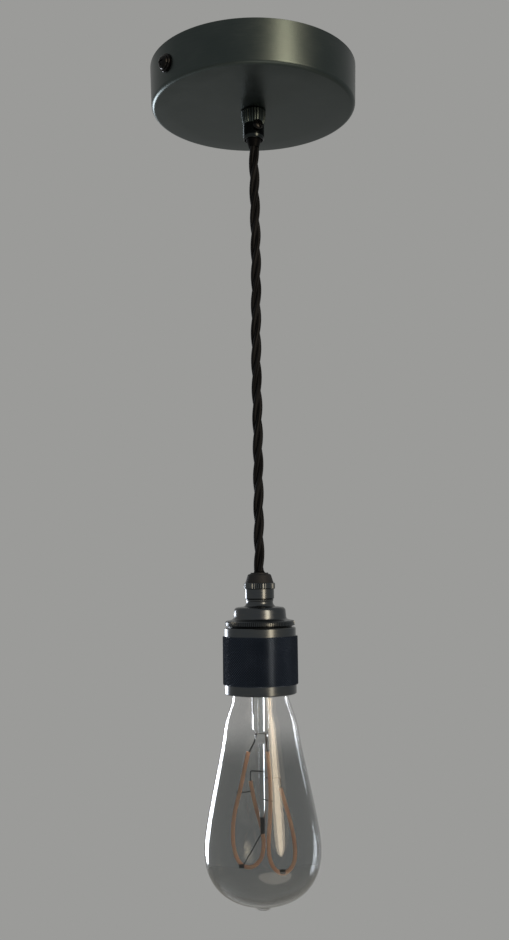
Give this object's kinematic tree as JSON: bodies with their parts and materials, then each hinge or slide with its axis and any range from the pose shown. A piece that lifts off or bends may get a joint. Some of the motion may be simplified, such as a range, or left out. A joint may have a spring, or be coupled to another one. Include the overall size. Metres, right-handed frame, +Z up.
{
  "type": "ceiling pendant light",
  "caption": "Ceiling pendant: a round rose, a twisted hanging flex, a knurled screw lampholder and a pear-shaped smoked filament lamp.",
  "frame": {"origin": "on the ceiling plane, on the pendant's axis, midway between the bracket's two fixing slots", "axes": "+Z up into the ceiling; the rose's two cover screws lie on X"},
  "size_m": [0.1276, 0.12, 0.4755],
  "materials": {
    "gunmetal": "satin gunmetal paint over spun steel",
    "blackened_bronze": "blackened bronze, lightly polished bands",
    "black_knurl": "blackened diamond knurl",
    "black_steel": "gloss black",
    "zinc_steel": "bright zinc plate",
    "black_nylon": "moulded black nylon",
    "black_braid": "braided twisted flex",
    "brown_core": "brown insulation",
    "blue_core": "blue insulation",
    "earth_core": "green and yellow insulation",
    "white_nylon": "natural nylon",
    "bright_brass": "turned brass",
    "porcelain": "glazed porcelain",
    "fibre_insulator": "pressed fibre",
    "spring_bronze": "spring bronze",
    "solder": "soft solder",
    "black_glass": "fused black glass insulator",
    "nickel_cap": "nickel plated",
    "cap_cement": "basing cement",
    "smoked_glass": "smoke tinted clear glass",
    "stem_glass": "clear glass",
    "rod_tip": "blackened metal",
    "wire_steel": "dark support wire",
    "filament_coat": "copper pink silicone over a lit strip",
    "board": "white circuit board",
    "black_component": "moulded component"
  },
  "bodies": {
    "rose": {"rose_cover": "gunmetal", "ceiling_bracket": "zinc_steel", "cover_screw_washers": "black_steel", "cover_screws": "black_steel", "terminal_block": "white_nylon", "terminal_block_tubes": "bright_brass", "terminal_block_screws": "zinc_steel", "terminal_block_fixing": "zinc_steel", "earth_terminal": "bright_brass", "earth_terminal_screw": "zinc_steel", "rose_grip_body": "gunmetal", "rose_grip_screw": "black_steel", "rose_grip_ring": "gunmetal", "rose_grip_washer": "zinc_steel", "rose_grip_nut": "bright_brass", "rose_live_core": "brown_core", "rose_neutral_core": "blue_core", "rose_earth_core": "earth_core"},
    "rose_bush": {"rose_grip_bush": "black_nylon"},
    "flex": {"hanging_flex": "black_braid"},
    "holder_bush": {"holder_entry_bush": "black_nylon"},
    "holder": {"holder_grip_cone": "black_nylon", "holder_grip_collar": "blackened_bronze", "holder_neck": "blackened_bronze", "holder_nipple": "zinc_steel", "holder_nipple_nut": "bright_brass", "holder_cap": "blackened_bronze", "ceramic_core": "porcelain", "ceramic_screws": "zinc_steel", "screw_shell": "nickel_cap", "shell_insulator": "fibre_insulator", "centre_contact": "spring_bronze", "holder_terminals": "bright_brass", "holder_earth_terminal": "bright_brass", "holder_terminal_screws": "zinc_steel", "holder_live_core": "brown_core", "holder_neutral_core": "blue_core", "holder_earth_core": "earth_core"},
    "mouth_ring": {"mouth_ring": "fibre_insulator"},
    "sleeve": {"knurled_sleeve": "black_knurl"},
    "lamp_contact": {"lamp_centre_contact": "solder", "lamp_cap_insulator": "black_glass"},
    "lamp": {"lamp_screw_cap": "nickel_cap", "lamp_glass": "smoked_glass", "lamp_cap_cement": "cap_cement", "lamp_stem": "stem_glass", "lamp_centre_rod": "stem_glass", "lamp_rod_tip": "rod_tip", "lamp_filament_left": "filament_coat", "lamp_filament_right": "filament_coat", "lamp_lead_wires": "wire_steel", "lamp_support_wires": "wire_steel", "lamp_filament_clips": "rod_tip", "lamp_driver_board": "board", "lamp_driver_capacitor": "black_component", "lamp_driver_rectifier": "black_component"}
  },
  "joints": [
    {"name": "swing_front_back", "type": "hinge", "parent": "rose", "child": "rose_bush", "pos_m": [0, 0, -0.0407], "axis": [1, 0, 0], "range_deg": [-20, 20]},
    {"name": "swing_side_to_side", "type": "hinge", "parent": "rose_bush", "child": "flex", "pos_m": [0, 0, -0.0407], "axis": [0, 1, 0], "range_deg": [-20, 20]},
    {"name": "holder_tilt_front_back", "type": "hinge", "parent": "flex", "child": "holder_bush", "pos_m": [0, 0, -0.295], "axis": [1, 0, 0], "range_deg": [-20, 20]},
    {"name": "holder_tilt_side_to_side", "type": "hinge", "parent": "holder_bush", "child": "holder", "pos_m": [0, 0, -0.295], "axis": [0, 1, 0], "range_deg": [-20, 20]},
    {"name": "sleeve_slide", "type": "slide", "parent": "holder", "child": "mouth_ring", "axis": [0, 0, -1], "range_m": [0, 0.008]},
    {"name": "sleeve_turn", "type": "hinge", "parent": "mouth_ring", "child": "sleeve", "pos_m": [0, 0, -0.36], "axis": [0, 0, -1], "range_deg": [0, 2880]},
    {"name": "lamp_slide", "type": "slide", "parent": "holder", "child": "lamp_contact", "axis": [0, 0, -1], "range_m": [0, 0.0146]},
    {"name": "lamp_turn", "type": "hinge", "parent": "lamp_contact", "child": "lamp", "pos_m": [0, 0, -0.36], "axis": [0, 0, -1], "range_deg": [0, 1440]}
  ],
  "couplings": [
    {"joint": "sleeve_slide", "follows": "sleeve_turn", "m_per_rad": 0.00015915},
    {"joint": "lamp_slide", "follows": "lamp_turn", "m_per_rad": 0.00057757}
  ]
}
